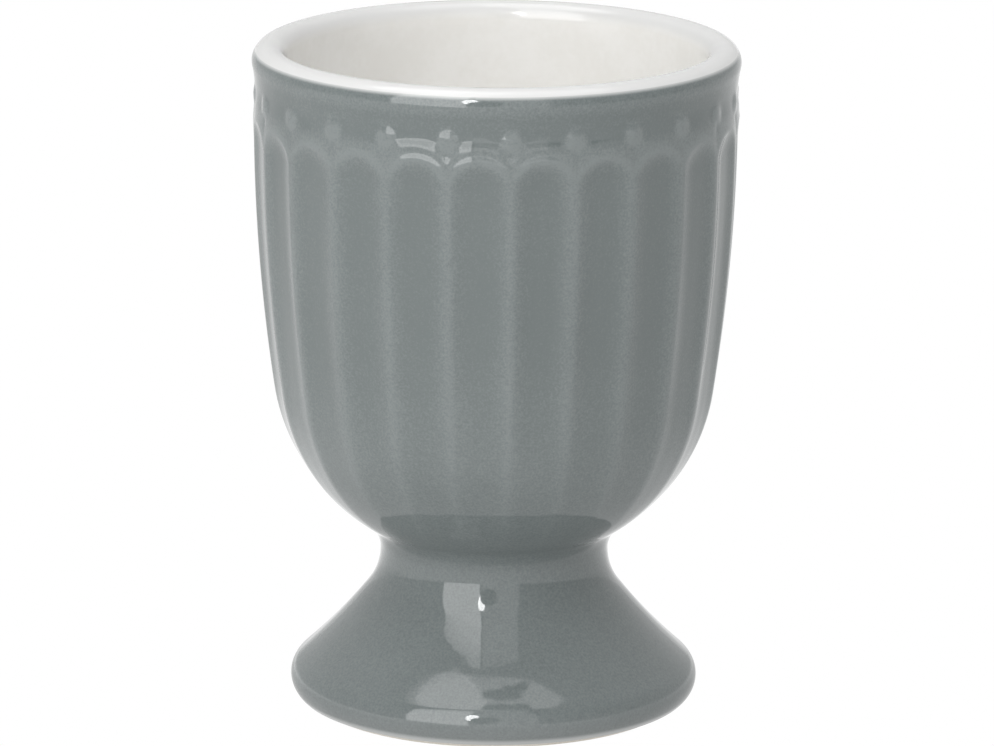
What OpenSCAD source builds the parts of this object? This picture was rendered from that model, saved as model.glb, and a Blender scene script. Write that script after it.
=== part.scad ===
// Egg cup: a fluted bowl on a flared pedestal foot, grey glaze outside, white glaze inside.
// Millimetres, +Z up. The origin is on the table, at the centre of the foot ring.
// Sizes are those of the glazed surface. The clay under it lies one glaze thickness deeper.

/* [Whole cup] */
// Height from the table to the top of the lip
cup_h = 69.2; // [68:0.1:74]
// Thickness of each coat of glaze, more than the depth of a flute
glaze_t = 0.4; // [0.38:0.01:0.45]

/* [Lip] */
// How far the lip stands proud of the wall
lip_proud = 0.2; // [0.1:0.05:0.5]
// Radius of the roll along the lip, half the thickness of the lip
lip_roll_r = 1.75; // [1.6:0.05:1.9]
// Height round the roll of the line between grey and white glaze, in degrees
colour_line_angle = 38; // [20:1:60]

/* [Beaded band] */
// Depth of the band behind the wall
band_recess = 0.18; // [0.12:0.02:0.24]
// Depth of the middle of the band under the top of the lip
band_drop = 5.2; // [5:0.1:5.4]
// Half the width of a bead
bead_half_w = 1.2; // [1:0.05:1.3]
// Height of a bead on the band
bead_h = 0.45; // [0.3:0.05:0.5]
// Beads round the cup, with as many flutes between them
bead_count = 24; // [20:1:26]
// Turn of the row of beads about the cup, in degrees
bead_turn = 3.7; // [0:0.1:15]

/* [Bowl wall] */
// Radius of the wall at its widest
wall_r = 24.8; // [24:0.1:26]
// Depth of the widest place under the top of the lip
wall_drop = 8; // [7.6:0.1:8.4]
// Radius of the long curve of the wall, seen from the side
wall_arc_r = 190; // [150:5:260]
// Radius of the shoulder between the wall and the band
shoulder_r = 8; // [6:0.5:10]
// Height of the knee where the wall turns in to the round of the bowl
knee_z = 33.5; // [32:0.1:35]

/* [Hollow of the bowl] */
// Radius of the long curve of the hollow's side
hollow_side_r = 300; // [250:10:400]
// Thickness of the bowl at its middle, with the glaze
floor_t = 6.1; // [5:0.1:7.5]

/* [Flutes] */
// Half the width of a flute
flute_half_w = 2.5; // [2.2:0.05:2.6]
// Depth of a flute, less than the thickness of the glaze
flute_depth = 0.36; // [0.32:0.01:0.37]
// Depth of the top of the arches under the top of the lip
flute_drop = 6.7; // [6.5:0.1:8]
// Turn above the waist at which the flutes run out, in degrees
flute_stop_turn = 6.7; // [6.5:0.1:12]

/* [Waist] */
// Radius of the waist
waist_r = 11.8; // [11:0.1:12.6]
// Height of the waist
waist_z = 16; // [15:0.1:16.6]
// Radius of the curve from the waist up to the bowl
waist_upper_r = 3.4; // [3:0.1:4]
// Radius of the curve from the waist down to the foot
waist_lower_r = 6.5; // [5:0.1:8]
// Thickness of the slip that joins the bowl to the foot
slip_t = 0.5; // [0.4:0.05:0.6]
// Thinnest the slip is wiped to at its edge
slip_edge_t = 0.15; // [0.1:0.01:0.2]

/* [Foot] */
// Outer radius of the foot
foot_r = 21.1; // [20:0.1:22]
// Radius of the foot's round edge
foot_edge_r = 2.8; // [2.6:0.05:3]
// Radius of the long curve of the foot
flare_r = 28; // [24:1:34]
// Width of the bare ring that the cup stands on
ring_w = 1.6; // [1.2:0.1:2]
// Height above the table at which the glaze under the foot ends
under_glaze_z = 0.6; // [0.3:0.1:1.2]
// Angle below level at which the glaze ends on the foot's edge
glaze_end_angle = 50; // [40:1:55]
// Angle below level at which the foot's edge turns down to the ring
ring_start_angle = 62; // [60:1:70]
// Distance of the ring inside the round edge's outermost place
ring_inset = 2.1; // [2:0.05:2.4]
// Thickness of the clay between the waist and the top of the hollow
hollow_shoulder_t = 2.6; // [2.2:0.1:3.4]
// Thickness of the clay between the bottom of the dish and the top of the hollow
roof_t = 3.2; // [2.6:0.1:4]
// Rise of the hollow's domed roof
hollow_rise = 1.6; // [1:0.1:2.4]

/* [Hidden] */
// Sides of a full round when the part is drawn as a mesh
$fn = 72;
// Sides of a full turn of a flute's cutter, whose bends are long
bend_fn = 240;

// Step along the small curves of an outline, in degrees
arc_step = 7.5;
// Step along its long curves, in degrees
long_arc_step = 2.1;
// How far a cutter runs on past what it cuts
overrun = 0.5;
// Height of a flute's cutter over the floor of the flute
cutter_h = 1.1;
// How much thinner each stretch of a flute's cutter is than the next, so that one starts inside the other
nest = 0.02;
// How much lower each stretch of a flute's cutter is than the next
back_nest = 0.1;
// Share of the pitch that a flute's cutter may fill
wedge_share = 0.98;
// Angle for which a flute's cutter runs on past its end, in degrees
fade_overrun = 6;

// Lip, with the centre of its roll
lip_r = wall_r + lip_proud;
mouth_r = lip_r - 2 * lip_roll_r;
lip_c = [lip_r - lip_roll_r, cup_h - lip_roll_r];

// Wall, with the centre of its long curve and the level direction of its knee
wall_z = cup_h - wall_drop;
wall_c = [wall_r - wall_arc_r, wall_z];
knee_turn = asin((wall_z - knee_z) / wall_arc_r);
knee_out = [cos(knee_turn), -sin(knee_turn)];
knee = wall_c + wall_arc_r * knee_out;

// Band: a cove that touches the lip's roll above and the shoulder below
band_z = cup_h - band_drop;
band_r = wall_r - band_recess;
shoulder_c = [wall_r - shoulder_r, wall_z];
cove_r = cove_radius(lip_c, lip_roll_r);
cove_c = [band_r + cove_r, band_z];
cove_turn = heading(lip_c, cove_c);
under_band_r = cove_radius(shoulder_c, shoulder_r);
under_band_c = [band_r + under_band_r, band_z];
under_band_turn = heading(shoulder_c, under_band_c);

// Waist: two curves that share its narrowest place
waist_upper_c = [waist_r + waist_upper_r, waist_z];
waist_lower_c = [waist_r + waist_lower_r, waist_z];

// Round of the bowl: leaves the wall at the knee and touches the waist's upper curve
from_waist = knee - waist_upper_c;
bowl_arc_r = (from_waist * from_waist - waist_upper_r ^ 2) / (2 * (waist_upper_r + from_waist * knee_out));
bowl_c = knee - bowl_arc_r * knee_out;
bowl_turn = heading(bowl_c, waist_upper_c);

// Underside of the bowl: a cap about the axis that carries the round on from where it touches the waist
cap_shift = -bowl_c.x / cos(bowl_turn);
cap_c = at(bowl_c, cap_shift, bowl_turn);
cap_r = bowl_arc_r - cap_shift;
bowl_z = cap_c.y - cap_r;

// Hollow: a long curve down from the mouth and a round end on the axis
side_c = [mouth_r - hollow_side_r, lip_c.y];
floor_z = bowl_z + floor_t;
floor_drop = floor_z - side_c.y;
end_r = (hollow_side_r ^ 2 - side_c.x ^ 2 - floor_drop ^ 2) / (2 * (floor_drop + hollow_side_r));
end_c = [0, floor_z + end_r];
end_turn = heading(side_c, end_c);

// Joint: the slip lies between the bowl's underside and a dish in the top of the foot
cap_clay_r = cap_r - glaze_t;
waist_clay_r = waist_upper_r + glaze_t;
dish_r = cap_clay_r + slip_t;
dish_z = cap_c.y - dish_r;
dish_turn = 180 + bowl_turn + slip_angle(slip_t);
dish_rim = at(waist_upper_c, waist_clay_r, dish_turn);
slip_edge_turn = 180 + bowl_turn + slip_angle(slip_edge_t);
slip_edge = at(waist_upper_c, waist_clay_r, slip_edge_turn);
cap_edge_turn = heading(cap_c, slip_edge);

// Foot: its flare touches the waist's lower curve and the round edge
edge_c = [foot_r - foot_edge_r, foot_edge_r];
foot_span = norm(edge_c - waist_lower_c);
foot_down = (edge_c - waist_lower_c) / foot_span;
foot_out = [-foot_down.y, foot_down.x];
flare_to_waist = flare_r - waist_lower_r;
flare_to_edge = flare_r + foot_edge_r;
flare_along = (flare_to_waist ^ 2 - flare_to_edge ^ 2 + foot_span ^ 2) / (2 * foot_span);
flare_away = sqrt(flare_to_waist ^ 2 - flare_along ^ 2);
flare_c = waist_lower_c + flare_along * foot_down + flare_away * foot_out;
flare_start = 360 + heading(flare_c, waist_lower_c);
flare_end = 360 + heading(flare_c, edge_c);
ring_r = foot_r - ring_inset;

// Hollow under the foot: a cone up to a shoulder, with a domed roof
under_r = ring_r - ring_w - glaze_t;
roof_r = waist_r - hollow_shoulder_t;
roof_z = dish_z - roof_t - hollow_rise;
roof_arc_r = (roof_r ^ 2 + hollow_rise ^ 2) / (2 * hollow_rise);
roof_c = [0, roof_z + hollow_rise - roof_arc_r];
roof_turn = asin(roof_r / roof_arc_r);

// Beads: balls sunk in the band
bead_r = (bead_half_w ^ 2 + bead_h ^ 2) / (2 * bead_h);
bead_c = band_r + bead_h - bead_r;
pitch = 360 / bead_count;
bead_start = bead_turn - 90;

// Flutes: a round cutter whose middle runs along the wall and leaves it past the knee
flute_z = cup_h - flute_drop;
flute_cut_r = flute_half_w ^ 2 * wall_r / (2 * flute_depth * wall_r - flute_half_w ^ 2);
flute_path_r = wall_arc_r - flute_depth + flute_cut_r;
arch_h = sqrt(flute_cut_r ^ 2 - (flute_cut_r - flute_depth) ^ 2);
flute_top_turn = asin((flute_z - arch_h - wall_z) / flute_path_r);
knee_overrun = overrun * 180 / (PI * flute_path_r);
flute_fade = -bowl_turn - knee_turn - flute_stop_turn;
fade_r = bowl_arc_r + flute_depth * cos(flute_fade) / (1 - cos(flute_fade));
fade_c = bowl_c + (bowl_arc_r - flute_depth - fade_r) * knee_out;
fade_path_r = fade_r + flute_cut_r;

// Direction from one point to another, in degrees
function heading(a, b) = atan2(b.y - a.y, b.x - a.x);

// Radius of a cove whose deepest place is the band's and which touches a round of radius r centred at c
function cove_radius(c, r) =
    let (across = band_r - c.x)
    (across ^ 2 + (band_z - c.y) ^ 2 - r ^ 2) / (2 * (r - across));

// Angle past the place where clay bowl and waist touch at which the slip between them is t thick
function slip_angle(t) =
    let (span = cap_r + waist_upper_r, reach = cap_clay_r + t)
    acos((span ^ 2 + waist_clay_r ^ 2 - reach ^ 2) / (2 * span * waist_clay_r));

// A point at an angle round c
function at(c, r, angle) = c + r * [cos(angle), sin(angle)];

// The points of an arc, without the first
function arc(c, r, from, to, step = arc_step) =
    let (n = ceil(abs(to - from) / step))
    [for (i = [1 : n]) at(c, r, from + (to - from) * i / n)];

// Outside of the cup from an angle on the lip down to the bowl's knee, t under the glazed surface
function wall_path(t, from) = concat(
    arc(lip_c, lip_roll_r - t, from, cove_turn),
    arc(cove_c, cove_r + t, 180 + cove_turn, 180),
    arc(under_band_c, under_band_r + t, 180, 180 + under_band_turn),
    arc(shoulder_c, shoulder_r - t, under_band_turn, 0),
    arc(wall_c, wall_arc_r - t, 0, -knee_turn, long_arc_step)
);

// Outside of the foot from an angle on the waist's upper curve to an angle on the foot's edge
function foot_path(t, from, to) = concat(
    arc(waist_upper_c, waist_upper_r + t, from, 180),
    arc(waist_lower_c, waist_lower_r + t, 180, flare_start),
    arc(flare_c, flare_r + t, flare_start, flare_end, long_arc_step),
    arc(edge_c, foot_edge_r - t, flare_end - 180, to)
);

// Hollow of the bowl from its lowest point up to the lip, t behind the glazed surface
function hollow_path(t) = concat(
    [[0, floor_z - t]],
    arc(end_c, end_r + t, -90, end_turn),
    arc(side_c, hollow_side_r + t, end_turn, 0, long_arc_step)
);

// Hollow under the foot from a height z to the axis, t behind the glazed surface
function underfoot_path(t, z) = concat(
    [[under_r + t - (under_r - roof_r) * z / roof_z, z], [roof_r + t, roof_z]],
    arc(roof_c, roof_arc_r + t, 90 - roof_turn, 90)
);

// The order of a list turned round
function turned(list) = [for (i = [len(list) - 1 : -1 : 0]) list[i]];

// Clay of the bowl before its flutes and beads
module plain_bowl() {
    rotate_extrude() polygon(concat(
        arc(lip_c, lip_roll_r - glaze_t, 180, colour_line_angle),
        wall_path(glaze_t, colour_line_angle),
        arc(bowl_c, bowl_arc_r - glaze_t, -knee_turn, bowl_turn),
        arc(cap_c, cap_clay_r, bowl_turn, cap_edge_turn),
        arc(cap_c, cap_clay_r, cap_edge_turn, -90),
        hollow_path(glaze_t)
    ));
}

// The grey coat and all that it holds, before its flutes and beads
module plain_coat() {
    rotate_extrude() polygon(concat(
        [at(lip_c, lip_roll_r, colour_line_angle)],
        wall_path(0, colour_line_angle),
        arc(bowl_c, bowl_arc_r, -knee_turn, bowl_turn),
        foot_path(0, 180 + bowl_turn, -glaze_end_angle),
        turned(concat(
            [at(lip_c, lip_roll_r - glaze_t, colour_line_angle)],
            wall_path(glaze_t, colour_line_angle),
            arc(bowl_c, bowl_arc_r - glaze_t, -knee_turn, bowl_turn),
            arc(cap_c, cap_clay_r, bowl_turn, cap_edge_turn),
            [slip_edge],
            arc(waist_upper_c, waist_clay_r, slip_edge_turn, dish_turn),
            foot_path(glaze_t, dish_turn, -glaze_end_angle)
        ))
    ));
}

// A ring through the coat and the clay behind it, as deep as the glaze in the clay's flutes reaches
module flute_lining() {
    back = glaze_t + 2 * flute_depth;
    front = glaze_t / 2;
    rotate_extrude() polygon(concat(
        [at(cove_c, cove_r + front, 180)],
        arc(under_band_c, under_band_r + front, 180, 180 + under_band_turn),
        arc(shoulder_c, shoulder_r - front, under_band_turn, 0),
        arc(wall_c, wall_arc_r - front, 0, -knee_turn, long_arc_step),
        arc(bowl_c, bowl_arc_r - front, -knee_turn, -knee_turn - flute_fade - fade_overrun),
        turned(concat(
            [at(cove_c, cove_r + back, 180)],
            arc(wall_c, wall_arc_r - back, 0, -knee_turn, long_arc_step),
            arc(bowl_c, bowl_arc_r - back, -knee_turn, -knee_turn - flute_fade - fade_overrun)
        ))
    ));
}

// A ring in front of the band, as deep as the middle of the coat
module bead_cover() {
    front = glaze_t / 2;
    rotate_extrude() polygon(concat(
        arc(cove_c, cove_r + front, 180 + cove_turn / 2, 180),
        arc(under_band_c, under_band_r + front, 180, 180 + under_band_turn / 2),
        [at(under_band_c, under_band_r + front, 180 + under_band_turn / 2) + [bead_r, 0]],
        [at(cove_c, cove_r + front, 180 + cove_turn / 2) + [bead_r, 0]]
    ));
}

// One cutter of a flute, from its arch to where it fades out, kept inside its own share of the pitch
module flute_cutter(r) {
    half = pitch / 2 * wedge_share;
    reach = lip_r + r;
    intersection() {
        union() {
            arch_end(r - nest, cutter_h);
            stretch(wall_c, flute_path_r, -knee_turn - knee_overrun, flute_top_turn)
                bar(r, cutter_h + back_nest);
            stretch(fade_c, fade_path_r, -knee_turn - flute_fade - fade_overrun, -knee_turn)
                bar(r + nest, cutter_h + 2 * back_nest);
        }
        linear_extrude(height = cup_h) polygon([
            [0, 0],
            [reach, -reach * tan(half)],
            [reach, reach * tan(half)]
        ]);
    }
}

// The round end of a cutter, cut off flat at a height over the floor of the flute
module arch_end(r, h) {
    place = at(wall_c, flute_path_r, flute_top_turn);
    translate([place.x, 0, place.y]) intersection() {
        sphere(r);
        translate([-r - overrun, -r, -r]) cube([h + overrun, 2 * r, 2 * r]);
    }
}

// The section of a cutter: the side of a round bar that faces the wall, cut off at a height
module bar(r, h) {
    intersection() {
        circle(r);
        translate([-r - overrun, -r]) square([h + overrun, 2 * r]);
    }
}

// Its children bent along an upright arc about c
module stretch(c, r, from, to) {
    translate([c.x, 0, c.y]) rotate([90, 0, 0]) rotate(from)
        rotate_extrude(angle = to - from, $fn = bend_fn) translate([r, 0]) children();
}

// The cutters of all the flutes, each half a pitch from a bead
module flutes(r) {
    for (i = [0 : bead_count - 1]) rotate(bead_start + pitch * (i + 1 / 2)) flute_cutter(r);
}

// The row of beads on the band
module beads(r) {
    for (i = [0 : bead_count - 1]) rotate(bead_start + pitch * i) translate([bead_c, 0, band_z]) sphere(r);
}

// Clay bowl with its lip, band of beads, flutes and hollow
module bowl() {
    color("ivory") union() {
        difference() {
            plain_bowl();
            flutes(flute_cut_r + glaze_t);
        }
        beads(bead_r - glaze_t);
    }
}

// Clay foot with a dish for the bowl, a flared skirt, a bare ring to stand on and a hollow
module pedestal_foot() {
    color("ivory") rotate_extrude() polygon(concat(
        [[0, dish_z]],
        arc(cap_c, dish_r, -90, heading(cap_c, dish_rim)),
        foot_path(glaze_t, dish_turn, -glaze_end_angle),
        arc(edge_c, foot_edge_r - glaze_t, -glaze_end_angle, -ring_start_angle),
        [[ring_r, 0]],
        underfoot_path(glaze_t, 0)
    ));
}

// Fired slip that fills the dish and the edge of the joint
module joining_slip() {
    color("gainsboro") rotate_extrude() polygon(concat(
        [[0, dish_z]],
        arc(cap_c, dish_r, -90, heading(cap_c, dish_rim)),
        arc(waist_upper_c, waist_clay_r, dish_turn, slip_edge_turn),
        [at(cap_c, cap_clay_r, cap_edge_turn)],
        arc(cap_c, cap_clay_r, cap_edge_turn, -90)
    ));
}

// White glaze over the top of the lip and down into the hollow
module lining_glaze() {
    color("white") rotate_extrude() polygon(concat(
        hollow_path(0),
        arc(lip_c, lip_roll_r, 180, colour_line_angle),
        [at(lip_c, lip_roll_r - glaze_t, colour_line_angle)],
        arc(lip_c, lip_roll_r - glaze_t, colour_line_angle, 180),
        turned(hollow_path(glaze_t))
    ));
}

// Grey glaze in one coat from the lip to the foot, which fills the clay's flutes and covers its beads
module outer_glaze() {
    color("slategray") difference() {
        union() {
            plain_coat();
            intersection() {
                flute_lining();
                flutes(flute_cut_r + glaze_t);
            }
            intersection() {
                bead_cover();
                beads(bead_r);
            }
        }
        flutes(flute_cut_r);
        beads(bead_r - glaze_t);
    }
}

// White glaze in the hollow under the foot, short of the ring
module underfoot_glaze() {
    color("white") rotate_extrude() polygon(concat(
        underfoot_path(glaze_t, under_glaze_z),
        turned(underfoot_path(0, under_glaze_z))
    ));
}

bowl();
pedestal_foot();
joining_slip();
lining_glaze();
outer_glaze();
underfoot_glaze();
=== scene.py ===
"""Egg cup: a grey-glazed, fluted bowl on a flared pedestal foot, with a white lining.

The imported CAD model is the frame. The glazes and the foot are modelled again here as
smooth pieces that stand for their CAD nodes, and the studio is built round them.
Sizes in the dataclasses are in millimetres and degrees, and meshes are in metres.
"""

import logging
import math
from collections.abc import Callable, Sequence
from dataclasses import dataclass, field
from enum import Enum

import bpy
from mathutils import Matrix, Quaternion, Vector


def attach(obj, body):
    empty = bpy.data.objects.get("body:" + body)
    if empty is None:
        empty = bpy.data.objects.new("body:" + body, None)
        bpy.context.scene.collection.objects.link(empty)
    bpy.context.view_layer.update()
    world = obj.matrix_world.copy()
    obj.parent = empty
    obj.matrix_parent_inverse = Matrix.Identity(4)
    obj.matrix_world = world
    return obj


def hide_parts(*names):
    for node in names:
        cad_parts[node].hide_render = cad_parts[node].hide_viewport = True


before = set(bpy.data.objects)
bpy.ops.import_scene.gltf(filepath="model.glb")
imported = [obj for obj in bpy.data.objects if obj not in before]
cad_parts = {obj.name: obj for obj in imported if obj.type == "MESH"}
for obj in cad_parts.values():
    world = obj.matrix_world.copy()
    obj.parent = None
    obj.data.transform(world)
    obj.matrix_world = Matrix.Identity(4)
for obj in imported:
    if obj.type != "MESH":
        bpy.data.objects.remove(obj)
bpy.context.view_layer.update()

LOG = logging.getLogger("egg_cup")
MM = 0.001

# Points closer than MERGE become one, and edges shorter than DEGENERATE go, both in
# millimetres. A point nearer to the axis than ON_AXIS, in metres, lies on it.
MERGE = 0.002
DEGENERATE = 0.0005
ON_AXIS = 1e-9

Point = tuple[float, float]


# ----------------------------------------------------------------- outlines


class Bulge(Enum):
    """Which way an arc of the outline bends, seen from outside the cup."""

    ROUND = 1
    COVE = -1


@dataclass(frozen=True)
class Arc:
    """One arc of an outline in the plane of radius and height."""

    centre: Point
    radius: float
    start: float
    end: float
    bulge: Bulge = Bulge.ROUND

    def point(self, angle: float, depth: float = 0.0) -> Point:
        """The point at an angle, a depth under the surface.

        Args:
            angle: The angle about the centre.
            depth: How far behind the surface the point lies.

        Returns:
            The point's radius and height.
        """
        reach = self.radius - self.bulge.value * depth
        turn = math.radians(angle)
        return self.centre[0] + reach * math.cos(turn), self.centre[1] + reach * math.sin(turn)

    def normal(self, angle: float) -> Point:
        """The direction that points out of the cup at an angle."""
        turn = math.radians(angle)
        return self.bulge.value * math.cos(turn), self.bulge.value * math.sin(turn)

    def length(self) -> float:
        """The length of the arc."""
        return abs(math.radians(self.end - self.start)) * self.radius

    def angles(self, step: float) -> list[float]:
        """Even angles along the arc, without the first.

        Args:
            step: The longest stretch of arc between two angles.

        Returns:
            The angles, the last one being the end of the arc.
        """
        count = max(1, math.ceil(self.length() / step))
        return [self.start + (self.end - self.start) * i / count for i in range(1, count + 1)]


@dataclass(frozen=True)
class Row:
    """One place on the outside's outline: its point, its normal and whether it is on the foot."""

    point: Point
    normal: Point
    on_foot: bool = False

    def off(self, distance: float) -> Point:
        """The point at a distance off the outline, along its normal."""
        return self.point[0] + self.normal[0] * distance, self.point[1] + self.normal[1] * distance


def heading(start: Point, end: Point) -> float:
    """The direction from one point to another, in degrees."""
    return math.degrees(math.atan2(end[1] - start[1], end[0] - start[0]))


def cove_radius(band: Point, centre: Point, radius: float) -> float:
    """The radius of a cove that is deepest at the band and touches a round.

    Args:
        band: The deepest point of the band.
        centre: The centre of the round.
        radius: The radius of the round.

    Returns:
        The radius of the cove.
    """
    across = band[0] - centre[0]
    return (across**2 + (band[1] - centre[1]) ** 2 - radius**2) / (2 * (radius - across))


@dataclass(frozen=True)
class CupSizes:
    """The sizes of the glazed cup: the part's own, but for the foot's flare and edge.

    The flare is straighter than the part's and the edge tighter, by 0.3 mm at most.
    """

    height: float = 69.2
    glaze: float = 0.4
    lip_proud: float = 0.2
    lip_roll: float = 1.75
    colour_line: float = 38.0
    band_recess: float = 0.18
    band_drop: float = 5.2
    wall_radius: float = 24.8
    wall_drop: float = 8.0
    wall_arc: float = 190.0
    shoulder: float = 8.0
    knee_height: float = 33.5
    hollow_side: float = 300.0
    floor_thickness: float = 6.1
    waist_radius: float = 11.8
    waist_height: float = 16.0
    waist_upper: float = 3.4
    waist_lower: float = 6.5
    foot_radius: float = 21.1
    foot_edge: float = 2.5
    flare: float = 60.0
    ring_width: float = 1.6
    under_glaze_height: float = 0.6
    glaze_end: float = 50.0
    ring_start: float = 62.0
    ring_inset: float = 2.1
    hollow_shoulder_thickness: float = 2.6
    roof_thickness: float = 3.2
    hollow_rise: float = 1.6
    slip: float = 0.5


@dataclass(frozen=True)
class RowSteps:
    """How far apart the rows of a mesh stand on each form.

    The wall has the arches' fine rows for its first arches_turn degrees, and the cone under
    the foot has a number of rows instead of a distance.
    """

    lip: float = 0.3
    cove: float = 0.21
    under: float = 0.2
    shoulder: float = 0.2
    arches: float = 0.22
    arches_turn: float = 1.05
    wall: float = 1.5
    bowl: float = 0.75
    waist_upper: float = 0.36
    waist_lower: float = 0.5
    flare: float = 0.9
    edge: float = 0.32
    hollow_end: float = 0.8
    hollow_side: float = 1.2
    roll: float = 0.16
    roof: float = 0.7
    cone_rows: int = 12
    dish: float = 1.0
    ring: float = 0.3


class Outline:
    """The cup's outlines, worked out from its sizes as the part's source does it."""

    def __init__(self, sizes: CupSizes, steps: RowSteps) -> None:
        """Works out every centre, radius and turn that the outlines share.

        Args:
            sizes: The cup's sizes.
            steps: The distances between the rows of its meshes.
        """
        self.steps = steps
        s = self.sizes = sizes
        lip_radius = s.wall_radius + s.lip_proud
        self.mouth = lip_radius - 2 * s.lip_roll
        self.lip = (lip_radius - s.lip_roll, s.height - s.lip_roll)
        self.wall_z = s.height - s.wall_drop
        self.wall = (s.wall_radius - s.wall_arc, self.wall_z)
        self.knee_turn = math.degrees(math.asin((self.wall_z - s.knee_height) / s.wall_arc))
        knee = math.radians(self.knee_turn)
        out = Vector((math.cos(knee), -math.sin(knee)))
        knee_point = Vector(self.wall) + s.wall_arc * out

        self.band = (s.wall_radius - s.band_recess, s.height - s.band_drop)
        self.shoulder = (s.wall_radius - s.shoulder, self.wall_z)
        self.cove_arc = cove_radius(self.band, self.lip, s.lip_roll)
        self.cove = (self.band[0] + self.cove_arc, self.band[1])
        self.cove_turn = heading(self.lip, self.cove)
        self.under_band_arc = cove_radius(self.band, self.shoulder, s.shoulder)
        self.under_band = (self.band[0] + self.under_band_arc, self.band[1])
        self.under_band_turn = heading(self.shoulder, self.under_band)

        self.upper = (s.waist_radius + s.waist_upper, s.waist_height)
        self.lower = (s.waist_radius + s.waist_lower, s.waist_height)
        span = knee_point - Vector(self.upper)
        reach = 2 * (s.waist_upper + span.dot(out))
        self.bowl_arc = (span.length_squared - s.waist_upper**2) / reach
        self.bowl = tuple(knee_point - self.bowl_arc * out)
        self.bowl_turn = heading(self.bowl, self.upper)
        turn = math.radians(self.bowl_turn)
        shift = -self.bowl[0] / math.cos(turn)
        self.cap = (0.0, self.bowl[1] + shift * math.sin(turn))
        self.cap_arc = self.bowl_arc - shift
        self.dish_arc = self.cap_arc - s.glaze + s.slip

        self.side = (self.mouth - s.hollow_side, self.lip[1])
        self.floor = self.cap[1] - self.cap_arc + s.floor_thickness
        drop = self.floor - self.side[1]
        rise = 2 * (drop + s.hollow_side)
        self.end_arc = (s.hollow_side**2 - self.side[0] ** 2 - drop**2) / rise
        self.end = (0.0, self.floor + self.end_arc)
        self.end_turn = heading(self.side, self.end)

        self.edge = (s.foot_radius - s.foot_edge, s.foot_edge)
        down = Vector(self.edge) - Vector(self.lower)
        to_waist, to_edge = s.flare - s.waist_lower, s.flare + s.foot_edge
        along = (to_waist**2 - to_edge**2 + down.length_squared) / (2 * down.length)
        away = math.sqrt(to_waist**2 - along**2)
        down.normalize()
        self.flare = tuple(Vector(self.lower) + along * down + away * Vector((-down.y, down.x)))
        self.flare_start = 360 + heading(self.flare, self.lower)
        self.flare_end = 360 + heading(self.flare, self.edge)
        self.ring = s.foot_radius - s.ring_inset

        self.under = self.ring - s.ring_width - s.glaze
        self.roof_radius = s.waist_radius - s.hollow_shoulder_thickness
        self.roof_z = self.cap[1] - self.dish_arc - s.roof_thickness - s.hollow_rise
        self.roof_arc = (self.roof_radius**2 + s.hollow_rise**2) / (2 * s.hollow_rise)
        self.roof = (0.0, self.roof_z + s.hollow_rise - self.roof_arc)
        self.roof_turn = math.degrees(math.asin(self.roof_radius / self.roof_arc))

    def dish_end(self) -> float:
        """Where the foot's dish ends on the waist.

        Returns:
            The angle about the cap's centre.
        """
        span = self.cap_arc + self.sizes.waist_upper
        clay = self.sizes.waist_upper + self.sizes.glaze
        turn = math.acos((span**2 + self.dish_arc**2 - clay**2) / (2 * span * self.dish_arc))
        return self.bowl_turn - math.degrees(turn)

    def outside(self) -> list[tuple[Arc, float]]:
        """The grey coat's outline, cut into arcs.

        Returns:
            The arcs from the colour line to the foot, each with the step between its rows.
        """
        s, step = self.sizes, self.steps
        cove, under, waist = self.cove_turn, self.under_band_turn, 180 + self.bowl_turn
        low, knee = -step.arches_turn, -self.knee_turn
        start, end = self.flare_start, self.flare_end
        return [
            (Arc(self.lip, s.lip_roll, s.colour_line, cove), step.lip),
            (Arc(self.cove, self.cove_arc, 180 + cove, 180, Bulge.COVE), step.cove),
            (Arc(self.under_band, self.under_band_arc, 180, 180 + under, Bulge.COVE), step.under),
            (Arc(self.shoulder, s.shoulder, under, 0), step.shoulder),
            (Arc(self.wall, s.wall_arc, 0, low), step.arches),
            (Arc(self.wall, s.wall_arc, low, knee), step.wall),
            (Arc(self.bowl, self.bowl_arc, knee, self.bowl_turn), step.bowl),
            (Arc(self.upper, s.waist_upper, waist, 180, Bulge.COVE), step.waist_upper),
            (Arc(self.lower, s.waist_lower, 180, start, Bulge.COVE), step.waist_lower),
            (Arc(self.flare, s.flare, start, end, Bulge.COVE), step.flare),
            (Arc(self.edge, s.foot_edge, end - 180, -s.glaze_end), step.edge),
        ]

    def rows(self, coarseness: float) -> list[Row]:
        """Rows down the outside of the glaze.

        Args:
            coarseness: How many times as far apart the rows are as on the finest mesh.

        Returns:
            The rows from the colour line down to the foot.
        """
        arcs = self.outside()
        first = arcs[0][0]
        rows = [Row(first.point(first.start), first.normal(first.start))]
        for arc, step in arcs:
            on_foot = arc.centre in (self.upper, self.lower, self.flare, self.edge)
            for angle in arc.angles(step * coarseness):
                rows.append(Row(arc.point(angle), arc.normal(angle), on_foot))
        return rows

    def hollow(self, depth: float) -> list[Point]:
        """The hollow's outline from its lowest point up to the lip.

        Args:
            depth: How far behind the glaze the outline lies.

        Returns:
            The outline's points.
        """
        s = self.sizes
        end = Arc(self.end, self.end_arc, -90, self.end_turn, Bulge.COVE)
        side = Arc(self.side, s.hollow_side, self.end_turn, 0, Bulge.COVE)
        points = [(0.0, self.floor - depth)]
        points += [end.point(a, depth) for a in end.angles(self.steps.hollow_end)]
        return points + [side.point(a, depth) for a in side.angles(self.steps.hollow_side)]

    def lip_top(self, depth: float) -> list[Point]:
        """The lip's roll from the hollow over the top to the colour line."""
        roll = Arc(self.lip, self.sizes.lip_roll, 180, self.sizes.colour_line)
        return [roll.point(a, depth) for a in roll.angles(self.steps.roll)]

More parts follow.
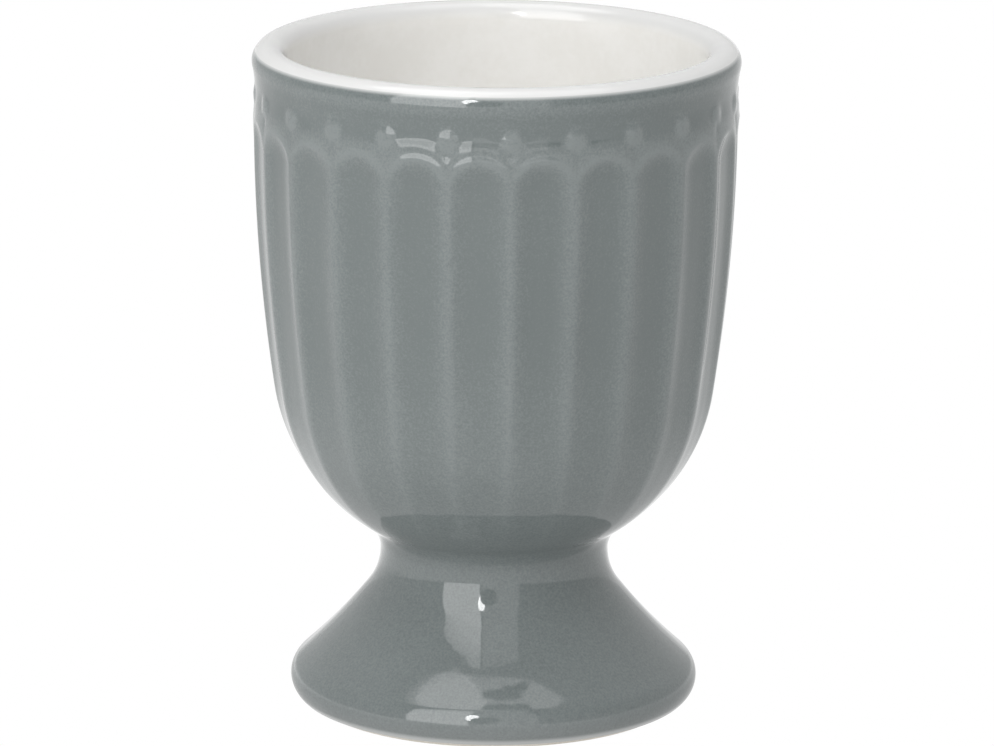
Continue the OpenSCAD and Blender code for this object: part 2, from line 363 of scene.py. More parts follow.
    def underfoot(self, depth: float, height: float) -> list[Point]:
        """The outline of the hollow under the foot, up to the axis.

        Args:
            depth: How far behind the glaze the outline lies.
            height: The height at which the outline starts.

        Returns:
            The outline's points.
        """
        slope, rows = (self.under - self.roof_radius) / self.roof_z, self.steps.cone_rows
        heights = [height + (self.roof_z - height) * i / rows for i in range(rows + 1)]
        cone = [(self.under + depth - slope * z, z) for z in heights]
        roof = Arc(self.roof, self.roof_arc, 90 - self.roof_turn, 90, Bulge.COVE)
        return cone + [roof.point(a, depth) for a in roof.angles(self.steps.roof)]


# ------------------------------------------------------------------- relief


def soft_step(value: float) -> float:
    """A smooth step from 0 at 0 to 1 at 1."""
    share = min(1.0, max(0.0, value))
    return share * share * (3 - 2 * share)


def soft_over(value: float, blur: float) -> float:
    """The value where it is over zero and zero where it is under, rounded at the change."""
    return (value + math.sqrt(value * value + blur * blur)) / 2


@dataclass(frozen=True)
class Relief:
    """Flutes, scallops and beads of one share of the pitch, softened by the glaze.

    The values on thinness say how thin the glaze lies, from 0 where it pools to 1 on a crest.
    """

    count: int = 24
    bead_turn: float = 3.7
    flute_depth: float = 0.44
    flute_share: float = 0.9
    flute_top: float = 61.7
    flute_arch: float = 2.7
    flute_full: float = 46.0
    flute_end: float = 17.0
    flute_power: float = 1.1
    flute_flat: float = 1.35
    wall_thin: float = 0.55
    rim_height: float = 0.07
    rim_place: float = 1.12
    rim_width: float = 0.17
    rim_thin: float = 0.45
    rim_side: float = 0.35
    rim_fade: float = 10.0
    scallop_top: float = 64.1
    scallop_rise: float = 1.8
    scallop_blur: float = 2.5
    recess_below: float = 1.5
    recess_above: float = 1.2
    recess_pool: float = 0.25
    cove_pool: float = 0.45
    pool_foot: float = 0.8
    pool_rise: float = 1.5
    pool_top: float = 67.2
    pool_fall: float = 1.2
    bead_radius: float = 1.15
    bead_height: float = 0.22
    bead_blur: float = 0.12
    bead_thin: float = 1.0
    bead_crown: float = 1.7

    @property
    def pitch(self) -> float:
        """The angle from one flute to the next."""
        return 360 / self.count

    def flute(self, row: Row, turn: float) -> tuple[float, float]:
        """How deep a flute is at a place, and how far the place is from its middle.

        Args:
            row: The row on the outline.
            turn: The angle from the middle of the flute.

        Returns:
            The depth, and the distance from the middle as a share of the half width.
        """
        z = row.point[1]
        side = abs(turn) / (self.pitch / 2 * self.flute_share)
        up = max(0.0, z - (self.flute_top - self.flute_arch)) / self.flute_arch
        away = math.hypot(side, up)
        fade = soft_step((z - self.flute_end) / (self.flute_full - self.flute_end))
        profile = math.cos(math.pi / 2 * min(away, 1.0) ** self.flute_flat) ** self.flute_power
        return self.flute_depth * profile * fade, away

    def bead(self, row: Row, turn: float, band: Point) -> float:
        """The height of the bead over the band at a place.

        Args:
            row: The row on the outline.
            turn: The angle from the middle of the flute.
            band: The deepest point of the band.

        Returns:
            The height.
        """
        across = (self.pitch / 2 - abs(turn)) * math.radians(band[0])
        away = math.hypot(across, row.point[1] - band[1]) / self.bead_radius
        blur = self.bead_blur / self.bead_height
        return self.bead_height * (soft_over(1 - away * away, blur) - blur * blur / 16)

    def recess(self, row: Row, turn: float) -> float:
        """How much of the band's recess a place has, above the scallop that borders it.

        Args:
            row: The row on the outline.
            turn: The angle from the middle of the flute.

        Returns:
            The share, 0 to 1.
        """
        half = math.radians(self.pitch / 2) * row.point[0]
        across = abs(turn) / (self.pitch / 2) * half
        radius = (half**2 + self.scallop_rise**2) / (2 * self.scallop_rise)
        top = self.scallop_top - radius + math.sqrt(radius**2 - across**2)
        return soft_step((row.point[1] - top) / self.scallop_blur + 0.5)

    def place(self, row: Row, turn: float, outline: Outline) -> tuple[float, float]:
        """How far the surface stands off the plain outline at a place.

        Args:
            row: The row on the outline.
            turn: The angle from the middle of the flute.
            outline: The plain outline.

        Returns:
            The distance along the row's normal, and how thin the glaze lies there, 0 to 1.
        """
        s = outline.sizes
        radius, z = row.point
        depth, away = self.flute(row, turn)
        bead = self.bead(row, turn, outline.band)
        offset = bead - depth
        thin = self.wall_thin - self.wall_thin * depth / self.flute_depth
        thin += self.bead_thin * min(1.0, self.bead_crown * bead / self.bead_height)
        if outline.wall_z - self.recess_below < z < outline.band[1] + self.recess_above:
            wall = outline.wall[0] + math.sqrt(s.wall_arc**2 - (z - outline.wall_z) ** 2)
            recess = self.recess(row, turn)
            if z <= outline.band[1]:
                offset += wall - s.band_recess * recess - radius
            else:
                offset += max(0.0, wall - radius) * (1 - recess)
            thin -= self.recess_pool * recess
        pool = self.cove_pool * soft_step((z - self.flute_top - self.pool_foot) / self.pool_rise)
        thin -= pool * soft_step((self.pool_top - z) / self.pool_fall)
        arch = soft_step((z - self.flute_top + self.flute_arch) / self.flute_arch)
        rim = math.exp(-(((away - self.rim_place) / self.rim_width) ** 2))
        offset += self.rim_height * rim * arch
        rim_share = self.rim_side + (1 - self.rim_side) * arch
        thin += self.rim_thin * rim * rim_share * soft_step((z - self.flute_end) / self.rim_fade)
        return offset, min(1.0, max(0.0, thin))


# --------------------------------------------------------------- mesh tools


def deselect() -> None:
    """Leaves nothing selected and no object in edit mode."""
    if bpy.context.object and bpy.context.object.mode != "OBJECT":
        bpy.ops.object.mode_set(mode="OBJECT")
    bpy.ops.object.select_all(action="DESELECT")


def name_piece(name: str) -> bpy.types.Object:
    """Names the object that was just added, and its mesh.

    Args:
        name: The name of both.

    Returns:
        The object.
    """
    piece = bpy.context.object
    piece.name = piece.data.name = name
    return piece


def close_up(sharp: float) -> None:
    """Merges doubles, turns normals out and smooths the piece being edited.

    Args:
        sharp: The angle above which an edge stays sharp, in degrees.
    """
    bpy.ops.mesh.select_all(action="SELECT")
    bpy.ops.mesh.remove_doubles(threshold=MERGE * MM)
    bpy.ops.mesh.dissolve_degenerate(threshold=DEGENERATE * MM)
    bpy.ops.mesh.normals_make_consistent(inside=False)
    bpy.ops.object.mode_set(mode="OBJECT")
    bpy.ops.object.shade_smooth_by_angle(angle=math.radians(sharp))


def turn_on_axis(name: str, section: Sequence[Point], steps: int, sharp: float) -> bpy.types.Object:
    """Makes a turned piece: a ring of edges is bent to the section and spun about the axis.

    Args:
        name: The name of the piece.
        section: The closed outline of its half section, in millimetres.
        steps: How many times the section stands round the axis.
        sharp: The angle above which an edge stays sharp, in degrees.

    Returns:
        The piece.
    """
    deselect()
    bpy.ops.mesh.primitive_circle_add(vertices=len(section), radius=MM, fill_type="NOTHING")
    piece = name_piece(name)
    for vertex, (radius, z) in zip(piece.data.vertices, section):
        vertex.co = (radius * MM, 0.0, z * MM)
    bpy.ops.object.mode_set(mode="EDIT")
    bpy.ops.mesh.select_mode(type="EDGE")
    bpy.ops.mesh.select_all(action="DESELECT")
    bpy.ops.object.mode_set(mode="OBJECT")
    for edge in piece.data.edges:
        edge.select = all(piece.data.vertices[i].co.x < ON_AXIS for i in edge.vertices)
    bpy.ops.object.mode_set(mode="EDIT")
    bpy.ops.mesh.delete(type="EDGE")
    bpy.ops.mesh.select_all(action="SELECT")
    bpy.ops.mesh.spin(steps=steps, angle=math.tau, center=(0, 0, 0), axis=(0, 0, 1))
    close_up(sharp)
    return piece


# ------------------------------------------------------------ shader pieces


class Signal:
    """A number that changes over a surface: a shader socket with arithmetic."""

    def __init__(self, graph: "Graph", socket: bpy.types.NodeSocket) -> None:
        """Keeps the socket and the graph that it belongs to."""
        self.graph = graph
        self.socket = socket

    def _math(self, operation: str, first: "Signal | float", second: "Signal | float") -> "Signal":
        """Adds a Math node for one operation."""
        node = self.graph.add("ShaderNodeMath", {"operation": operation}, {0: first, 1: second})
        return Signal(self.graph, node.outputs[0])

    def __add__(self, other: "Signal | float") -> "Signal":
        """This plus other."""
        return self._math("ADD", self, other)

    __radd__ = __add__

    def __sub__(self, other: "Signal | float") -> "Signal":
        """This less other."""
        return self._math("SUBTRACT", self, other)

    def __rsub__(self, other: "Signal | float") -> "Signal":
        """Other less this."""
        return self._math("SUBTRACT", other, self)

    def __mul__(self, other: "Signal | float") -> "Signal":
        """This times other."""
        return self._math("MULTIPLY", self, other)

    __rmul__ = __mul__

    def ramp(self, low: float, high: float, start: float = 0.0, end: float = 1.0) -> "Signal":
        """A smooth change with this number, held outside its range.

        Args:
            low: Where the change starts.
            high: Where it ends.
            start: The result up to its start.
            end: The result from its end on.

        Returns:
            The changed number.
        """
        node = self.graph.add(
            "ShaderNodeMapRange",
            {"interpolation_type": "SMOOTHSTEP"},
            {"Value": self, "From Min": low, "From Max": high, "To Min": start, "To Max": end},
        )
        return Signal(self.graph, node.outputs["Result"])


class Graph:
    """The node tree of one material."""

    def __init__(self, name: str) -> None:
        """Makes a material with an empty tree and its shader and output."""
        self.material = bpy.data.materials.new(name)
        self.material.use_nodes = True
        self.tree = self.material.node_tree
        self.tree.nodes.clear()
        self.shader = self.add("ShaderNodeBsdfPrincipled")
        output = self.add("ShaderNodeOutputMaterial")
        self.tree.links.new(self.shader.outputs["BSDF"], output.inputs["Surface"])

    def add(
        self, kind: str, settings: dict[str, object] | None = None, inputs: dict | None = None
    ) -> bpy.types.Node:
        """Adds a node.

        Args:
            kind: The type of the node.
            settings: Its properties, which are set first.
            inputs: The value, socket or signal of each of its inputs.

        Returns:
            The node.
        """
        node = self.tree.nodes.new(kind)
        for name, value in (settings or {}).items():
            setattr(node, name, value)
        for key, value in (inputs or {}).items():
            self.feed(node.inputs[key], value)
        return node

    def feed(self, socket: bpy.types.NodeSocket, value: object) -> None:
        """Links or sets one input.

        Args:
            socket: The input.
            value: The value, socket or signal that it gets.
        """
        if isinstance(value, Signal):
            value = value.socket
        if isinstance(value, bpy.types.NodeSocket):
            self.tree.links.new(value, socket)
        else:
            socket.default_value = value

    def place(self) -> bpy.types.NodeSocket:
        """The object's own coordinates, in metres."""
        return self.add("ShaderNodeTexCoord").outputs["Object"]

    def height(self) -> Signal:
        """The height over the table, in metres."""
        split = self.add("ShaderNodeSeparateXYZ", {}, {"Vector": self.place()})
        return Signal(self, split.outputs["Z"])

    def noise(self, grain: float, detail: float = 2.0, roughness: float = 0.5) -> Signal:
        """Noise with grains of a size in millimetres."""
        inputs = {"Vector": self.place(), "Scale": 1 / (grain * MM)}
        inputs |= {"Detail": detail, "Roughness": roughness}
        return Signal(self, self.add("ShaderNodeTexNoise", {}, inputs).outputs["Fac"])

    def specks(self, spacing: float, radius: float, share: float) -> Signal:
        """Sparse round specks.

        Args:
            spacing: The usual distance between the places where one may lie, in millimetres.
            radius: The radius of a speck, in millimetres.
            share: The share of the places that have one.

        Returns:
            A mask, 1 in a speck.
        """
        inputs = {"Vector": self.place(), "Scale": 1 / (spacing * MM)}
        cells = self.add("ShaderNodeTexVoronoi", {}, inputs)
        away = Signal(self, cells.outputs["Distance"])
        near = away.ramp(0.4 * radius / spacing, radius / spacing, 1.0, 0.0)
        split = self.add("ShaderNodeSeparateColor", {}, {"Color": cells.outputs["Color"]})
        chosen = Signal(self, split.outputs["Red"]).ramp(1 - share, 1 - share + 0.01)
        return near * chosen

    def attribute(self, name: str) -> Signal:
        """A number kept on the mesh."""
        node = self.add("ShaderNodeAttribute", {"attribute_name": name})
        return Signal(self, node.outputs["Fac"])

    def mix(self, mask: Signal, first: object, second: object) -> bpy.types.NodeSocket:
        """A colour between two.

        Args:
            mask: The share of the second colour.
            first: The first colour, or a socket that gives it.
            second: The second colour, or a socket that gives it.

        Returns:
            The socket of the mixed colour.
        """
        # A colour mix has its two colours at inputs 6 and 7, and its result at output 2.
        node = self.add("ShaderNodeMix", {"data_type": "RGBA"})
        self.feed(node.inputs["Factor"], mask)
        self.feed(node.inputs[6], first)
        self.feed(node.inputs[7], second)
        return node.outputs[2]

    def bump(self, height: Signal, distance: float) -> bpy.types.NodeSocket:
        """A bumped normal from a height of up to a distance in millimetres."""
        inputs = {"Height": height, "Distance": distance * MM, "Strength": 1.0}
        return self.add("ShaderNodeBump", {}, inputs).outputs["Normal"]

    def surface(self, **inputs: object) -> None:
        """Sets the shader's inputs, with spaces in their names written as underscores."""
        for name, value in inputs.items():
            self.feed(self.shader.inputs[name.replace("_", " ")], value)


Colour = tuple[float, float, float, float]


def opaque(red: float, green: float, blue: float) -> Colour:
    """A colour with its alpha."""
    return red, green, blue, 1.0


def even(level: float) -> Colour:
    """A grey of one level."""
    return opaque(level, level, level)


# ---------------------------------------------------------------- finishes


@dataclass(frozen=True)
class GreyGlaze:
    """Glossy green-grey glaze, lighter where it has run thin over an edge, and painted paler low on
    the foot as a painted reflection of the bright floor.
    """

    pooled: Colour = opaque(0.120, 0.138, 0.137)
    thin: Colour = opaque(0.172, 0.192, 0.191)
    speck: Colour = opaque(0.06, 0.068, 0.066)
    # Paler grey: real where the grey glaze thins out at the colour line, and a painted reflection
    # of the floor on the foot's bottom edge and lowest part.
    end: Colour = opaque(0.5, 0.51, 0.505)
    end_low: float = 68.15
    end_high: float = 68.6
    # The foot's bottom edge is painted paler, a painted highlight standing in for the floor that it
    # mirrors.
    rim_sheen_low: float = 0.75
    rim_sheen_high: float = 1.4
    rim_share: float = 0.8
    # The lowest few millimetres of the foot are painted a little paler, a painted reflection of the
    # floor.
    foot_sheen_low: float = 1.0
    foot_sheen_high: float = 4.0
    foot_sheen_share: float = 0.14
    roughness: float = 0.055
    cloud_share: float = 0.5
    grain_share: float = 0.5
    fine_share: float = 1.7
    speck_spacing: float = 5.0
    speck_radius: float = 0.11
    speck_places: float = 0.3
    speck_depth: float = 0.75
    peel_share: float = 0.1

    def material(self) -> bpy.types.Material:
        """Builds the material.

        Returns:
            The glaze, which follows the thinness that the mesh keeps.
        """
        graph = Graph("grey_glaze")
        cloud = graph.noise(9.0, 3.0, 0.55)
        grain = graph.noise(0.55, 3.0, 0.65)
        fine = graph.noise(0.22, 2.0, 0.6)
        thin = graph.attribute("thin")
        shares = (self.cloud_share, self.grain_share, self.fine_share)
        for noise, share in zip((cloud, grain, fine), shares):
            thin = thin + (noise - 0.5) * share
        colour = graph.mix(thin.ramp(-0.15, 1.15), self.pooled, self.thin)
        specks = graph.specks(self.speck_spacing, self.speck_radius, self.speck_places)
        colour = graph.mix(specks * self.speck_depth, colour, self.speck)
        # Paler grey where the glaze thins at the colour line, and painted reflection of the floor
        # along the foot's bottom edge and lowest part.
        lip = graph.height().ramp(self.end_low * MM, self.end_high * MM)
        rim = graph.height().ramp(self.rim_sheen_low * MM, self.rim_sheen_high * MM, self.rim_share, 0.0)
        foot = graph.height().ramp(self.foot_sheen_low * MM, self.foot_sheen_high * MM, self.foot_sheen_share, 0.0)
        colour = graph.mix(lip + rim + foot, colour, self.end)
        ripple = graph.noise(7.0, 1.0)
        peel = graph.noise(1.3, 1.0)
        height = ripple + peel * self.peel_share
        graph.surface(
            Base_Color=colour,
            Roughness=(grain - 0.5) * 0.04 + self.roughness,
            Normal=graph.bump(height, 0.06),
        )
        graph.surface(IOR=1.52)
        return graph.material


@dataclass(frozen=True)
class WhiteGlaze:
    """Glossy warm white glaze with the faintest clouds, with painted shade that makes it less white
    over the lip.
    """

    light: Colour = opaque(0.818, 0.81, 0.79)
    shade: Colour = opaque(0.785, 0.775, 0.749)
    # Painted shade: the lip's crest is painted darker than the rest of the white glaze.
    lip: Colour = opaque(0.59, 0.59, 0.585)
    roughness: float = 0.11
    lip_shade_foot: float = 67.3
    lip_shade_crest: float = 68.7

    def material(self) -> bpy.types.Material:
        """Builds the material.

        Returns:
            The glaze, with painted shade that darkens it a little towards the lip's crest.
        """
        graph = Graph("white_glaze")
        cloud = graph.noise(7.0, 3.0, 0.5)
        grain = graph.noise(0.7, 2.0)
        colour = graph.mix((cloud + (grain - 0.5) * 0.4).ramp(0.3, 0.7), self.shade, self.light)
        # Painted shade over the lip's crest.
        over = graph.height().ramp(self.lip_shade_foot * MM, self.lip_shade_crest * MM)
        graph.surface(
            Base_Color=graph.mix(over, colour, self.lip),
            Roughness=(cloud - 0.5) * 0.05 + self.roughness,
            Normal=graph.bump(graph.noise(5.0, 1.0), 0.05),
        )
        graph.surface(IOR=1.5)
        return graph.material


@dataclass(frozen=True)
class BareClay:
    """Fired clay without glaze: pale, dull and finely grained."""

    light: Colour = opaque(0.76, 0.72, 0.65)
    dark: Colour = opaque(0.62, 0.575, 0.50)
    roughness: float = 0.82

    def material(self, name: str) -> bpy.types.Material:
        """Builds the material.

        Args:
            name: The name that it gets.

        Returns:
            The clay.
        """
        graph = Graph(name)
        grain = graph.noise(0.35, 4.0, 0.7)
        cloud = graph.noise(5.0, 2.0)
        colour = graph.mix((grain * 0.6 + cloud * 0.4).ramp(0.3, 0.7), self.dark, self.light)
        graph.surface(
            Base_Color=graph.mix(graph.specks(2.2, 0.12, 0.35) * 0.6, colour, self.dark),
            Roughness=(grain - 0.5) * 0.15 + self.roughness,
            Normal=graph.bump(grain, 0.05),
        )
        return graph.material


# ------------------------------------------------------------------ pieces


def dress(piece: bpy.types.Object, node: str, material: bpy.types.Material) -> None:
    """Gives a piece its material, and lets it stand for its CAD node.

    Args:
        piece: The piece.
        node: The CAD node that it replaces.
        material: Its material.
    """
    piece.data.materials.clear()
    piece.data.materials.append(material)
    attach(piece, "root")
    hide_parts(node)
    LOG.info("%s: %d faces, for %s", piece.name, len(piece.data.polygons), node)


@dataclass
class GreyCoat:
    """The grey glaze on the outside, with its flutes, scallops and beads."""

    outline: Outline
    relief: Relief = field(default_factory=Relief)
    edge_columns: int = 5
    edge_turn: float = 3.0
    panel_columns: int = 12
    back_coarseness: float = 5.0
    sharp: float = 50.0

    def turns(self) -> list[float]:
        """The columns of one share of the pitch, closer together by the ridge and its bead.

        Returns:
            The angle of each column from the middle of the flute.
        """
        half = self.relief.pitch / 2
        step = self.edge_turn / self.edge_columns
        edge = [-half + step * i for i in range(self.edge_columns)]
        panel, count = half - self.edge_turn, self.panel_columns
        middle = [-panel + 2 * panel * i / count for i in range(count + 1)]
        return edge + middle + [-turn for turn in reversed(edge)]

    def build(self) -> bpy.types.Object:
        """Models one share of the pitch from a grid, and repeats it round the axis.

        Returns:
            The closed coat.
        """
        front = [(row, 0.0) for row in self.outline.rows(1.0)]
        back = [(row, self.outline.sizes.glaze) for row in self.outline.rows(self.back_coarseness)]
        section = front + back[::-1] + front[:1]
        turns = self.turns()
        deselect()
        bpy.ops.mesh.primitive_grid_add(
            x_subdivisions=len(turns) - 1, y_subdivisions=len(section) - 1, size=1.0
        )
        piece = name_piece("grey_coat")
        thin = piece.data.attributes.new("thin", "FLOAT", "POINT")
        start = self.relief.bead_turn - 90 + self.relief.pitch / 2
        for index, vertex in enumerate(piece.data.vertices):
            line, column = divmod(index, len(turns))
            (row, depth), turn = section[line], turns[column]
            offset, share = self.relief.place(row, turn, self.outline)
            radius, z = row.off(offset - depth)
            azimuth = math.radians(start + turn)
            vertex.co = Vector((radius * math.cos(azimuth), radius * math.sin(azimuth), z)) * MM
            thin.data[index].value = share
        bpy.ops.object.mode_set(mode="EDIT")
        bpy.ops.mesh.select_all(action="SELECT")
        bpy.ops.mesh.spin(
            steps=self.relief.count, dupli=True, angle=math.tau, center=(0, 0, 0), axis=(0, 0, 1)
        )
        close_up(self.sharp)
        return piece


@dataclass
class WhiteLining:
    """The white glaze over the lip and down into the hollow."""

    outline: Outline
    steps: int = 240
    sharp: float = 50.0

    def build(self) -> bpy.types.Object:
        """Turns the lining.

        Returns:
            The closed coat.
        """
        depth = self.outline.sizes.glaze
        face = self.outline.hollow(0.0) + self.outline.lip_top(0.0)
        back = self.outline.hollow(depth) + self.outline.lip_top(depth)
        return turn_on_axis("white_lining", face + back[::-1], self.steps, self.sharp)


@dataclass
class Foot:
    """The clay foot with its bare ring, and the white glaze in its hollow."""

    outline: Outline
    steps: int = 192
    clay_sharp: float = 40.0
    glaze_sharp: float = 50.0

    def clay(self) -> bpy.types.Object:
        """Turns the clay foot.

        Returns:
            The foot, with the dish in its top that takes the bowl.
        """
        o, s = self.outline, self.outline.sizes
        dish = Arc(o.cap, o.dish_arc, -90, o.dish_end())
        rim = dish.point(dish.end)[1]
        skirt = [row.off(-s.glaze) for row in o.rows(1.0) if row.on_foot]
        skirt = [point for point in skirt if point[1] < rim]
        edge = Arc(o.edge, s.foot_edge, -s.glaze_end, -s.ring_start)
        ring = [edge.point(a, s.glaze) for a in edge.angles(o.steps.ring)] + [(o.ring, 0.0)]
        section = [dish.point(a) for a in [-90, *dish.angles(o.steps.dish)]] + skirt + ring
        section += o.underfoot(s.glaze, 0.0)
        return turn_on_axis("foot_clay", section, self.steps, self.clay_sharp)

    def glaze(self) -> bpy.types.Object:
        """Turns the glaze in the hollow under the foot.

        Returns:
            The closed coat.
        """
        o, s = self.outline, self.outline.sizes
        face = o.underfoot(0.0, s.under_glaze_height)
        back = o.underfoot(s.glaze, s.under_glaze_height)
        return turn_on_axis("underfoot_coat", face + back[::-1], self.steps, self.glaze_sharp)


# ------------------------------------------------------------------ studio


class SheetShape(Enum):
    """The shape of a sheet of the light tent, as its light's kind."""

    SQUARE = "RECTANGLE"
    ROUND = "ELLIPSE"

    def share(self) -> float:
        """The share of its box that the shape fills."""
        return math.pi / 4 if self is SheetShape.ROUND else 1.0


@dataclass(frozen=True)
class Sheet:
    """A flat sheet of the light tent, placed by where it is seen from the cup.

    Its edges are given as multiples of the distance to its plane: across to the right,
    and up for a standing sheet or away from the camera for one overhead. A standing sheet
    leans in over the cup. One that isn't mirrored lights the cup without showing in its gloss,
    and one that doesn't light it shows there alone.
    """

    name: str
    across: Point
    along: Point
    radiance: float
    distance: float = 0.76
    overhead: bool = False
    shape: SheetShape = SheetShape.SQUARE
    lean: float = 0.15
    mirrored: bool = True
    lights: bool = True

    def stand(self, aim: Vector) -> tuple[Vector, Vector, float, float]:
        """Where the sheet stands.

        Args:
            aim: The point that it is seen from.

        Returns:
            Its centre, the way its back faces, its width and its height.
        """
        d = self.distance
        middle = [sum(edges) / 2 * d for edges in (self.across, self.along)]
        width, height = ((edges[1] - edges[0]) * d for edges in (self.across, self.along))
        if self.overhead:
            return aim + Vector((middle[0], middle[1], d)), Vector((0, 0, 1)), width, height
        centre = aim + Vector((middle[0], self.lean * middle[1] - d, middle[1]))
        return centre, Vector((0, -1, self.lean)), width, height * math.hypot(1.0, self.lean)

    def light(self, aim: Vector) -> None:
        """Adds the sheet as a light.

        Args:
            aim: The point that it is seen from.
        """
        centre, back, width, height = self.stand(aim)
        light = bpy.data.lights.new(self.name, "AREA")
        light.shape = self.shape.value
        light.size, light.size_y = width, height
        light.energy = self.radiance * math.pi * width * height * self.shape.share()
        lamp = bpy.data.objects.new(self.name, light)
        bpy.context.scene.collection.objects.link(lamp)
        lamp.location = centre
        lamp.visible_glossy = self.mirrored
        lamp.visible_diffuse = self.lights
        lamp.rotation_euler = back.to_track_quat("Z", "Y").to_euler()

    def card(self, aim: Vector) -> None:
        """Adds the sheet as a dark round card.

        Args:
            aim: The point that it is seen from.
        """
        centre, back, width, height = self.stand(aim)
        turn = back.to_track_quat("Z", "Y").to_euler()
        deselect()
        bpy.ops.mesh.primitive_circle_add(vertices=48, radius=0.5, fill_type="NGON", rotation=turn)
        piece = name_piece(self.name)
        piece.location = centre
        piece.scale = (width, height, 1.0)
        graph = Graph(self.name)
        graph.surface(Base_Color=even(0.03), Roughness=1.0, Specular_IOR_Level=0.0)
        piece.data.materials.append(graph.material)


@dataclass(frozen=True)
class Ceiling(Sheet):
    """A round sheet overhead."""

    distance: float = 1.2
    overhead: bool = True
    shape: SheetShape = SheetShape.ROUND


@dataclass(frozen=True)
class FloorGlow:
    """How bright the floor looks in the glaze, by where it lies: levels and ranges in metres. Its
    glow paints a pool of light on the left, a painted shadow on the right and painted shade under
    the cup.
    """

    left: float = 1.2
    right: float = 1.0
    behind: float = 0.9
    under: float = 0.75
    across: Point = (0.0, 0.05)
    away: Point = (0.03, 0.12)
    reach: Point = (0.024, 0.055)


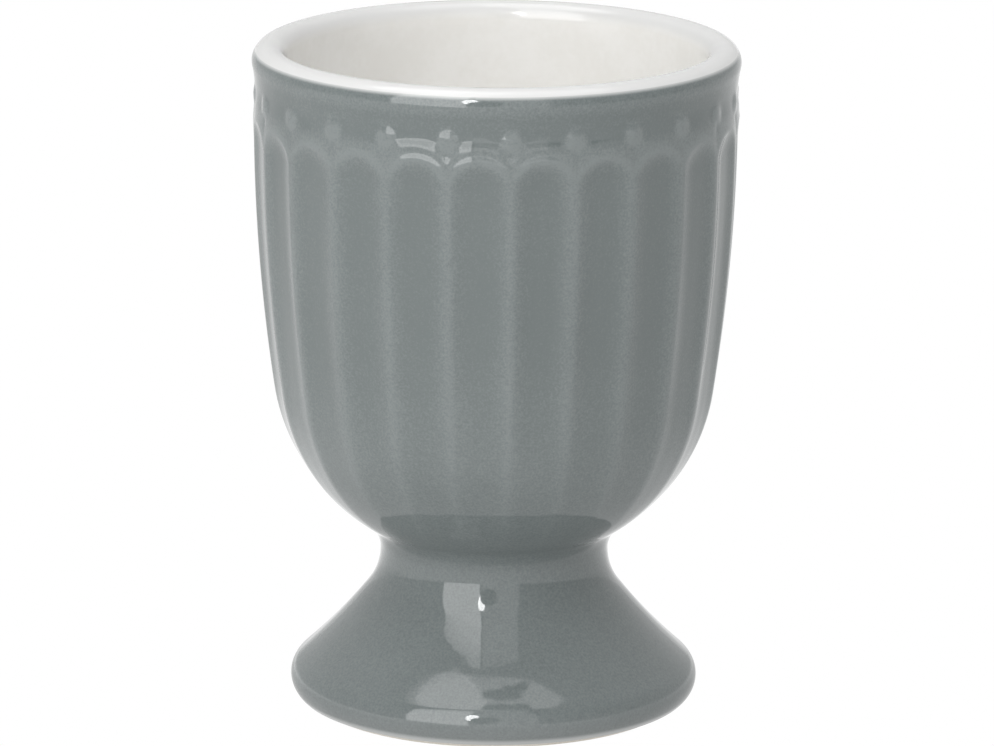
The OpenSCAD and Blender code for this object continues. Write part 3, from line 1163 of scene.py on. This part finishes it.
@dataclass
class Studio:
    """The pale floor, the soft light and the camera."""

    frame_width: int = 994
    focal_pixels: float = 6783.0
    sensor: float = 36.0
    distance: float = 0.7
    elevation: float = 13.93
    aim_height: float = 0.03449
    shift: float = 0.002
    roll: float = 0.3
    floor_radius: float = 4.0
    glow: FloorGlow = field(default_factory=FloorGlow)
    world_front: float = 0.25
    world_back: float = 0.9
    world_fade: Point = (-0.6, 0.8)

    def sheets(self) -> list[Sheet]:
        """The sheets that give light, with a bright gap in front where they meet.

        The window on the left comes twice: one sheet that lights the cup, and four that show
        in its gloss alone, dimmer towards the top. Sheets that overlap stand at distances of
        their own, because one would hide the other in the gloss.

        Returns:
            The sheets.
        """
        return [
            Sheet("front_left", (-1.15, -0.235), (-0.05, 1.93), 2.95, 0.78, mirrored=False),
            Sheet("front_left_low", (-1.15, -0.235), (-0.05, 1.47), 3.6, lights=False),
            Sheet("front_left_middle", (-1.15, -0.235), (1.47, 1.66), 3.0, lights=False),
            Sheet("front_left_high", (-1.15, -0.235), (1.66, 1.8), 2.4, lights=False),
            Sheet("front_left_top", (-1.15, -0.235), (1.8, 1.93), 1.8, lights=False),
            Sheet("front_right", (-0.205, 0.45), (-0.05, 1.88), 0.85),
            Sheet("front_gap", (-0.27, -0.15), (0.34, 0.95), 16.0, 0.74, shape=SheetShape.ROUND),
            Ceiling("ceiling", (-0.62, 0.53), (-0.352, 0.5), 0.9),
            Ceiling("ceiling_left", (-0.55, 0.06), (-0.325, 0.45), 1.3, 1.18),
            Ceiling("ceiling_gloss", (-0.55, 0.51), (-0.345, 0.49), 0.6, 1.16, lights=False),
            Sheet("right_fill", (0.5, 1.7), (-0.8, 0.5), 1.2, 0.9, overhead=True, mirrored=False),
        ]

    def cards(self) -> list[Sheet]:
        """The dark things in the tent: the camera's stand and the lamp's hood overhead.

        Returns:
            The cards.
        """
        return [
            Sheet("camera_stand", (-0.22, 0.06), (0.12, 0.7), 0.0, 0.72),
            Sheet("lamp_hood", (-0.08, 0.2), (-0.3, -0.245), 0.0, 1.1, overhead=True),
            Sheet("lamp_bracket", (0.08, 0.27), (-0.288, -0.24), 0.0, 1.1, overhead=True),
        ]

    def camera(self) -> None:
        """Adds the camera at the photograph's angle."""
        lift = math.radians(self.elevation)
        data = bpy.data.cameras.new("camera")
        data.sensor_fit = "HORIZONTAL"
        data.sensor_width = self.sensor
        data.lens = self.focal_pixels * self.sensor / self.frame_width
        data.shift_x = self.shift
        eye = bpy.data.objects.new("camera", data)
        bpy.context.scene.collection.objects.link(eye)
        way = Vector((0.0, -math.cos(lift), math.sin(lift)))
        eye.location = Vector((0, 0, self.aim_height)) + way * self.distance
        tilt = Quaternion((0, 0, 1), math.radians(self.roll))
        eye.rotation_euler = (way.to_track_quat("Z", "Y") @ tilt).to_euler()
        bpy.context.scene.camera = eye

    def floor(self) -> None:
        """Lays the pale floor, white to the camera and darker in the shade under the cup."""
        deselect()
        bpy.ops.mesh.primitive_circle_add(vertices=96, radius=self.floor_radius, fill_type="NGON")
        piece = name_piece("floor")
        graph = Graph("pale_floor")
        split = graph.add("ShaderNodeSeparateXYZ", {}, {"Vector": graph.place()})
        across, away = Signal(graph, split.outputs["X"]), Signal(graph, split.outputs["Y"])
        length = graph.add("ShaderNodeVectorMath", {"operation": "LENGTH"}, {0: graph.place()})
        reach = Signal(graph, length.outputs["Value"])
        glow = self.glow
        # Painted light in the floor's glow: brighter on the left as a pool of light, dimmer on the
        # right as the cup's painted shadow, and darkest under the cup as painted shade.
        pool = graph.mix(across.ramp(*glow.across), even(glow.left), even(glow.right))
        pool = graph.mix(away.ramp(*glow.away), pool, even(glow.behind))
        pool = graph.mix(reach.ramp(*glow.reach), even(glow.under), pool)
        seen = Signal(graph, graph.add("ShaderNodeLightPath").outputs["Is Camera Ray"])
        graph.surface(
            Emission_Color=graph.mix(seen, pool, even(1.0)),
            Base_Color=even(0.0),
            Roughness=1.0,
            Specular_IOR_Level=0.0,
            Emission_Strength=1.0,
        )
        piece.data.materials.append(graph.material)

    def world(self) -> None:
        """Lights the room: pale at the back, darker on the camera's side."""
        world = bpy.data.worlds.new("studio")
        bpy.context.scene.world = world
        world.use_nodes = True
        tree = world.node_tree
        tree.nodes.clear()
        place = tree.nodes.new("ShaderNodeTexCoord")
        toward = tree.nodes.new("ShaderNodeVectorMath")
        toward.operation = "DOT_PRODUCT"
        toward.inputs[1].default_value = (0.0, 1.0, 0.0)
        fade = tree.nodes.new("ShaderNodeMapRange")
        fade.interpolation_type = "SMOOTHSTEP"
        fade.inputs["From Min"].default_value = self.world_fade[0]
        fade.inputs["From Max"].default_value = self.world_fade[1]
        fade.inputs["To Min"].default_value = self.world_front
        fade.inputs["To Max"].default_value = self.world_back
        glow = tree.nodes.new("ShaderNodeBackground")
        output = tree.nodes.new("ShaderNodeOutputWorld")
        tree.links.new(place.outputs["Generated"], toward.inputs[0])
        tree.links.new(toward.outputs["Value"], fade.inputs["Value"])
        tree.links.new(fade.outputs["Result"], glow.inputs["Strength"])
        tree.links.new(glow.outputs["Background"], output.inputs["Surface"])

    def build(self) -> None:
        """Builds the whole studio."""
        self.camera()
        self.floor()
        self.world()
        aim = Vector((0, 0, self.aim_height / 2))
        for sheet in self.sheets():
            sheet.light(aim)
        for sheet in self.cards():
            sheet.card(aim)
        bpy.context.scene.view_settings.view_transform = "Standard"


def main() -> None:
    """Builds and dresses the cup, then the studio."""
    logging.basicConfig(level=logging.INFO, format="%(message)s")
    Studio().build()
    outline = Outline(CupSizes(), RowSteps())
    white = WhiteGlaze().material()
    clay = BareClay().material("fired_clay")
    foot = Foot(outline)
    makers: list[tuple[Callable[[], bpy.types.Object], str, str, bpy.types.Material]] = [
        (GreyCoat(outline).build, "outer_glaze", "grey_glaze", GreyGlaze().material()),
        (WhiteLining(outline).build, "lining_glaze", "white_glaze", white),
        (foot.clay, "pedestal_foot", "clay", clay),
        (foot.glaze, "underfoot_glaze", "white_glaze", white),
    ]
    for build, node, slot, material in makers:
        dress(build(), node, material)
    for node, material in {"bowl": clay, "joining_slip": BareClay().material("fired_slip")}.items():
        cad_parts[node].data.materials.clear()
        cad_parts[node].data.materials.append(material)


if __name__ == "__main__":
    main()
